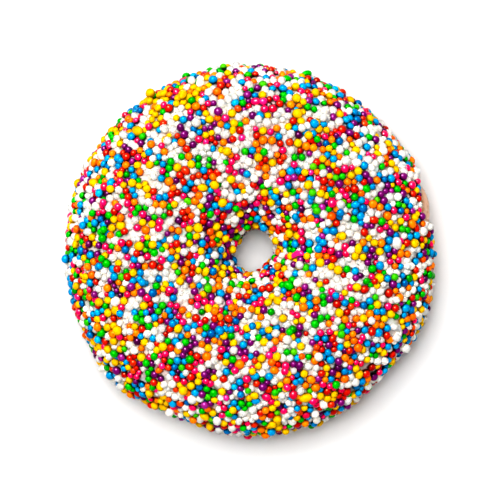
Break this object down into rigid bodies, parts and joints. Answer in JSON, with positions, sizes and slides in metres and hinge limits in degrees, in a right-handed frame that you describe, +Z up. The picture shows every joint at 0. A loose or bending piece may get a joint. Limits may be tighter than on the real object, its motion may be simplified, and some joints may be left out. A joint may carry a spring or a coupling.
{
  "type": "ring doughnut",
  "caption": "Ring-shaped cake doughnut with a coat of sugar icing and small round sugar beads over its top and sides.",
  "frame": {"origin": "on the axis of the ring, at the level of the table that the doughnut rests on", "axes": "+Z up along the axis of the ring, towards the iced crown; +X towards the side where the icing leaves some dough bare"},
  "size_m": [0.0855, 0.0858, 0.0295],
  "materials": {
    "dough": "matte",
    "icing": "satin",
    "beads_white": "satin",
    "beads_red": "satin",
    "beads_orange": "satin",
    "beads_yellow": "satin",
    "beads_green": "satin",
    "beads_blue": "satin",
    "beads_purple": "satin",
    "beads_pink": "satin"
  },
  "bodies": {
    "root": {"dough": "dough", "icing": "icing"}
  },
  "joints": []
}
